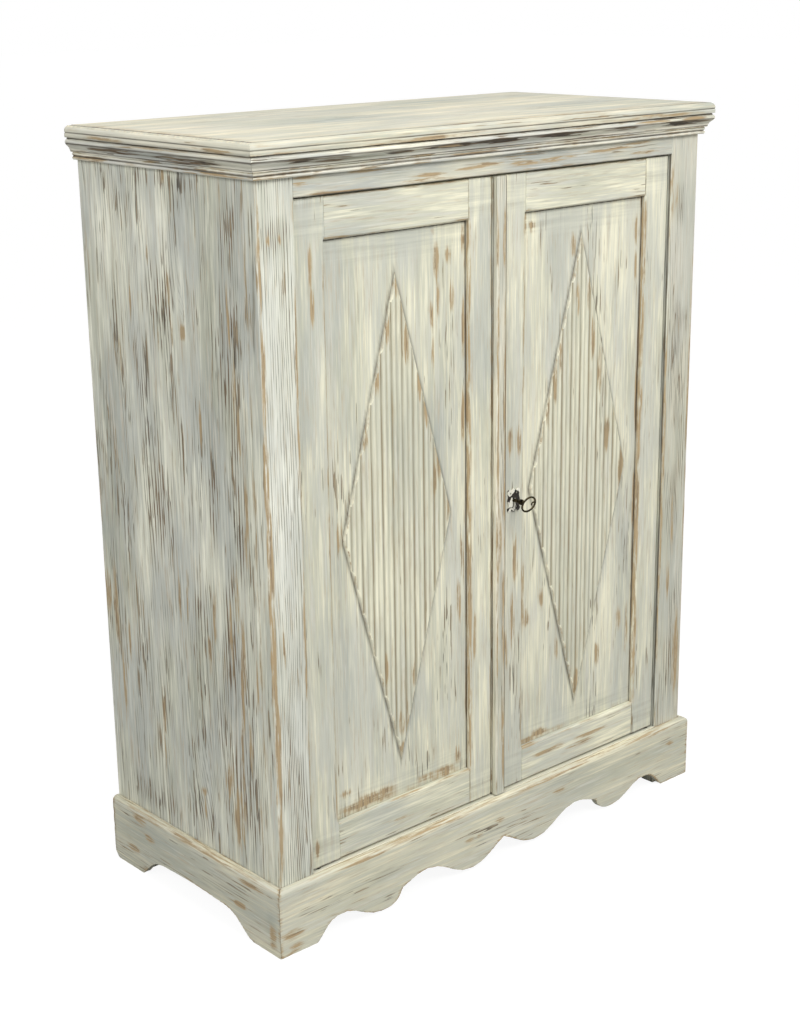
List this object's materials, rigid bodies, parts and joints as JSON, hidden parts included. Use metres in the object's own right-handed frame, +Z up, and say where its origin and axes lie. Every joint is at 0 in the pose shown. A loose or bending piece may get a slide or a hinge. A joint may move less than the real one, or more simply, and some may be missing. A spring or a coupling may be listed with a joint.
{
  "type": "storage cabinet",
  "caption": "Free-standing painted pine cabinet with hinged panelled doors carrying reeded lozenges, scalloped plinth, mitred cornice, inner shelves, rim lock with key, and slide bolts.",
  "frame": {"origin": "on the floor, under the middle of the outline, which runs from the key's bow at the front to the back boards", "axes": "+X to the right seen from the front, +Y to the back, +Z up"},
  "size_m": [0.968, 0.4838, 1.22],
  "materials": {
    "painted_pine": "cream and grey-green paint, rubbed through to brown wood at the edges",
    "bare_pine": "plain aged pine, unpainted",
    "iron": "dark worn iron",
    "aged_bronze": "dark aged bronze"
  },
  "bodies": {
    "carcass": {"left_side_board": "painted_pine", "right_side_board": "painted_pine", "left_pilaster": "painted_pine", "right_pilaster": "painted_pine", "frieze_rail": "painted_pine", "bottom_rail": "bare_pine", "floor_board": "bare_pine", "top_board": "painted_pine", "cornice_front": "painted_pine", "cornice_left": "painted_pine", "cornice_right": "painted_pine", "plinth_front": "painted_pine", "plinth_left": "painted_pine", "plinth_right": "painted_pine", "back_board_1": "bare_pine", "back_board_2": "bare_pine", "back_board_3": "bare_pine", "back_board_4": "bare_pine", "shelf_1": "bare_pine", "shelf_2": "bare_pine", "shelf_cleat_1_left": "bare_pine", "shelf_cleat_1_right": "bare_pine", "shelf_cleat_2_left": "bare_pine", "shelf_cleat_2_right": "bare_pine", "door_stop": "bare_pine", "corner_block_left": "bare_pine", "corner_block_right": "bare_pine", "left_bottom_pivot_socket": "iron", "left_top_pivot_socket": "iron", "right_bottom_pivot_socket": "iron", "right_top_pivot_socket": "iron"},
    "left_door": {"left_hinge_stile": "painted_pine", "left_free_stile": "painted_pine", "left_top_rail": "painted_pine", "left_bottom_rail": "painted_pine", "left_panel": "painted_pine", "left_lozenge": "painted_pine", "left_bottom_pivot_pin": "iron", "left_top_pivot_pin": "iron", "lock_keep": "iron", "top_bolt_plate": "iron", "bottom_bolt_plate": "iron"},
    "right_door": {"right_hinge_stile": "painted_pine", "right_free_stile": "painted_pine", "right_top_rail": "painted_pine", "right_bottom_rail": "painted_pine", "right_panel": "painted_pine", "right_lozenge": "painted_pine", "right_bottom_pivot_pin": "iron", "right_top_pivot_pin": "iron", "meeting_strip": "painted_pine", "escutcheon": "iron", "lock_case": "iron"},
    "key": {"key": "aged_bronze"},
    "lock_bolt": {"lock_bolt": "iron"},
    "top_bolt": {"top_bolt": "iron"},
    "bottom_bolt": {"bottom_bolt": "iron"}
  },
  "joints": [
    {"name": "left_door_hinge", "type": "hinge", "parent": "carcass", "child": "left_door", "pos_m": [-0.384, -0.187, 0.62], "axis": [0, 0, -1], "range_deg": [0, 110]},
    {"name": "right_door_hinge", "type": "hinge", "parent": "carcass", "child": "right_door", "pos_m": [0.384, -0.187, 0.62], "axis": [0, 0, 1], "range_deg": [0, 110]},
    {"name": "key_turn", "type": "hinge", "parent": "right_door", "child": "key", "pos_m": [0.036, -0.2, 0.618], "axis": [0, -1, 0], "range_deg": [0, 86]},
    {"name": "lock_bolt_slide", "type": "slide", "parent": "right_door", "child": "lock_bolt", "axis": [-1, 0, 0], "range_m": [0, 0.012]},
    {"name": "top_bolt_slide", "type": "slide", "parent": "left_door", "child": "top_bolt", "axis": [0, 0, 1], "range_m": [0, 0.015]},
    {"name": "bottom_bolt_slide", "type": "slide", "parent": "left_door", "child": "bottom_bolt", "axis": [0, 0, -1], "range_m": [0, 0.015]}
  ],
  "couplings": [
    {"joint": "key_turn", "follows": "lock_bolt_slide", "rad_per_m": 125}
  ]
}
